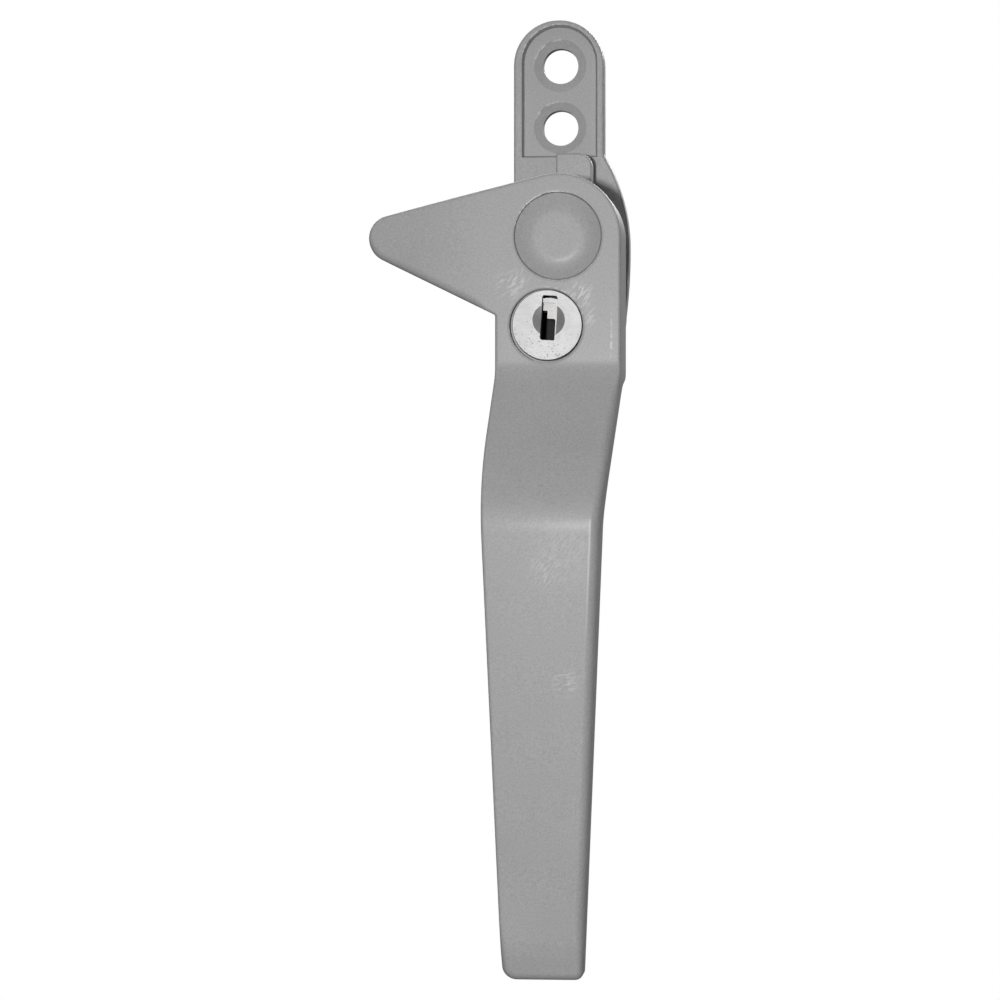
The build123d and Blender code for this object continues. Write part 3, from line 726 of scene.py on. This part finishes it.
def handle_rings(skin):
    """Rings from the front face over the rounded edge and down the walls to the back face."""
    outline = bent_line(handle_corners(), 0.55)
    normals = outward_normals(outline)
    radii = [edge_radius(point, normal) for point, normal in zip(outline, normals)]
    fronts = [front_depth(point.x, point.y) for point in outline]
    backs = [back_at(point.y) for point in outline]
    points = [p - n * (r + EDGE_SUPPORT) for p, n, r in zip(outline, normals, radii)]
    rings = [ring(skin, points, [front_depth(p.x, p.y) for p in points])]
    for part in range(EDGE_STEPS + 1):
        angle = math.pi / 2 * (1 - part / EDGE_STEPS)
        points = [p - n * r * (1 - math.cos(angle)) for p, n, r in zip(outline, normals, radii)]
        drops = [r * (1 - math.sin(angle)) for r in radii]
        rings.append(ring(skin, points, [front_depth(p.x, p.y) - d for p, d in zip(points, drops)]))
    for part in range(WALL_STEPS + 1):
        share = 0.04 + 0.92 * part / WALL_STEPS
        depths = [
            (f - r) * (1 - share) + (b + BACK_EDGE) * share for f, r, b in zip(fronts, radii, backs)
        ]
        rings.append(ring(skin, outline, depths))
    for part in range(BACK_STEPS + 1):
        angle = math.pi / 2 * part / BACK_STEPS
        inset = BACK_EDGE * (1 - math.cos(angle))
        points = [p - n * inset for p, n in zip(outline, normals)]
        rise = BACK_EDGE * (1 - math.sin(angle))
        rings.append(ring(skin, points, [back_at(p.y) + rise for p in points]))
    chain(skin, rings)
    return rings[0], rings[-1]


def handle_piece():
    """The handle casting, with its bores, the stop's groove and the relief in the grip's back."""
    skin = bmesh.new()
    front_ring, back_ring = handle_rings(skin)
    cap_top, cap_low = pivot_bore(skin)
    lock_top, lock_low = pin_bore(skin)
    groove = stop_groove(skin)
    relief = bent_line(RELIEF, 1.0)
    relief_depths = [back_at(point.y) for point in relief]
    hollow = pocket(skin, relief, relief_depths, RELIEF_FLOOR, rows(np.arange(-104, -51, 3.0), -8, 4, 2.0))

    front_rows = np.concatenate([
        np.arange(8.5, -18.5, -1.2), np.arange(-18.5, -24.5, -0.3), np.arange(-24.5, -31, -0.9),
        np.arange(-31, -46, -0.7), np.arange(-46, -104, -1.4), np.arange(-104, -113.5, -0.6),
    ])
    fill(skin, front_ring, [cap_top, lock_top], rows(front_rows, -30, 12, 0.9), front_depth)
    back_rows = np.concatenate([
        np.arange(9, -20.5, -1.2), np.arange(-20.8, -24.2, -0.16), np.arange(-24.2, -34, -0.7),
        np.arange(-34, -44, -0.5), np.arange(-44, -113.6, -2.0),
    ])
    fill(
        skin, back_ring, [cap_low, lock_low, groove, hollow], rows(back_rows, -30, 12, 1.0),
        lambda x, z: back_at(z), 0.12,
    )
    return make_piece("handle_shell", skin, "handle", "painted_zinc", "handle_casting")


# ---------------------------------------------------------------- pivot cap

def cap_piece():
    """The cover over the pivot: a soft dome on a beaded skirt that snaps into the bore."""
    skin = bmesh.new()
    rim_r = CAP_BORE_R - CAP_FIT
    section = [((0.3, CAP_TOP), 0), ((4.7, CAP_TOP), 9.0), ((rim_r, 34.3), 0.3), ((rim_r, 33.6), 0)]
    dome = [(point.y, point.x) for point in bent_line(section, 0.3, closed=False, bend=math.radians(2))]
    skirt = [
        (32.6, rim_r), (31.8, rim_r - 0.2), (31.6, 7.0), (31.5, 7.0), (31.3, rim_r - 0.2),
        (30.9, rim_r - 0.2), (30.6, rim_r - 0.4), (30.6, 5.8), (33.2, 5.8),
    ]
    rings = [
        ring(skin, circle_points((0, 0), radius, CAP_COUNT), depth) for depth, radius in dome + skirt
    ]
    chain(skin, rings)
    pole = skin.verts.new((0, -CAP_TOP * MM, 0))
    for index in range(CAP_COUNT):
        skin.faces.new((pole, rings[0][index], rings[0][(index + 1) % CAP_COUNT]))
    skin.faces.new(rings[-1])
    return make_piece("cap_dome", skin, "handle", "painted_cap", "pivot_cap")


handle_piece()
cap_piece()


# ---------------------------------------------------------------- camera, light, floor

AIM = Vector((-8.9, -34.5, -40.6)) * MM
CAMERA_TURN = math.radians(5.3)
CAMERA_AWAY = 0.600
LENS = 140.4
KEY_WATTS = 3.2
SIDE_WATTS = 3.8
BOUNCE_WATTS = 1.9
TOP_WATTS = 0.55
BACK_WATTS = 4.0
FILL = 0.05


def place_camera():
    """A long lens a little to the right of square on, level with the middle of the handle."""
    data = bpy.data.cameras.new("camera")
    data.sensor_width = 36
    data.lens = LENS
    data.clip_start = 0.01
    camera = bpy.data.objects.new("camera", data)
    bpy.context.scene.collection.objects.link(camera)
    back = Vector((math.sin(CAMERA_TURN), -math.cos(CAMERA_TURN), 0))
    camera.location = AIM + back * CAMERA_AWAY
    camera.rotation_euler = (-back).to_track_quat("-Z", "Y").to_euler()
    bpy.context.scene.camera = camera


def area_light(name, toward, away, size, watts):
    """A square soft light that looks at the object from a direction."""
    data = bpy.data.lights.new(name, "AREA")
    data.size = size
    data.energy = watts
    light = bpy.data.objects.new(name, data)
    bpy.context.scene.collection.objects.link(light)
    light.location = AIM + toward * away
    light.rotation_euler = (-toward).to_track_quat("-Z", "Y").to_euler()


def direction(right, up):
    """Unit direction from the object, in degrees right of square on and up."""
    right, up = math.radians(right), math.radians(up)
    return Vector((math.sin(right) * math.cos(up), -math.cos(right) * math.cos(up), math.sin(up)))


def light_scene():
    """Soft studio lights, with a white world that only the camera sees in full."""
    area_light("key", direction(-1.5, 0.9), 0.70, 0.03, KEY_WATTS)
    area_light("bounce", direction(5, -50), 0.60, 0.40, BOUNCE_WATTS)
    area_light("top", direction(0, 60), 0.60, 0.40, TOP_WATTS)
    area_light("side", direction(148, 32), 0.60, 0.25, SIDE_WATTS)
    area_light("back", direction(195, 50), 0.80, 0.50, BACK_WATTS)
    world = bpy.data.worlds.new("studio")
    world.use_nodes = True
    nodes = world.node_tree.nodes
    links = world.node_tree.links
    nodes.clear()
    seen = nodes.new("ShaderNodeBackground")
    seen.inputs["Strength"].default_value = 1.0
    fill = nodes.new("ShaderNodeBackground")
    fill.inputs["Strength"].default_value = FILL
    path = nodes.new("ShaderNodeLightPath")
    mix = nodes.new("ShaderNodeMixShader")
    output = nodes.new("ShaderNodeOutputWorld")
    seen.inputs["Color"].default_value = (1, 1, 1, 1)
    fill.inputs["Color"].default_value = (1, 1, 1, 1)
    links.new(path.outputs["Is Camera Ray"], mix.inputs["Fac"])
    links.new(fill.outputs["Background"], mix.inputs[1])
    links.new(seen.outputs["Background"], mix.inputs[2])
    links.new(mix.outputs["Shader"], output.inputs["Surface"])
    bpy.context.scene.world = world
    bpy.context.scene.view_settings.view_transform = "Standard"


FLOOR_Z = -0.30
FLOOR_HALF = 1.3


def lay_floor():
    """A plain pale floor, well below the handle."""
    mesh = bpy.data.meshes.new("floor")
    corners = [(x * FLOOR_HALF, y * FLOOR_HALF, FLOOR_Z) for x, y in ((-1, -1), (1, -1), (1, 1), (-1, 1))]
    mesh.from_pydata(corners, [], [(0, 1, 2, 3)])
    floor = bpy.data.objects.new("floor", mesh)
    bpy.context.scene.collection.objects.link(floor)
    material, nodes, links, shader = new_material("pale_floor")
    coords = object_coords(nodes, links)
    links.new(
        ramp(nodes, links, noise(nodes, links, coords, 6), [(0.2, 0.80), (0.8, 0.84)]),
        shader.inputs["Base Color"],
    )
    shader.inputs["Roughness"].default_value = 0.8
    links.new(
        ramp(nodes, links, noise(nodes, links, coords, 4), [(0.2, 0.78), (0.8, 0.82)]),
        shader.inputs["Emission Color"],
    )
    shader.inputs["Emission Strength"].default_value = 0.8
    floor.data.materials.append(material)
    floor.visible_diffuse = False
    floor.visible_glossy = False


place_camera()
light_scene()
lay_floor()

bpy.context.view_layer.update()
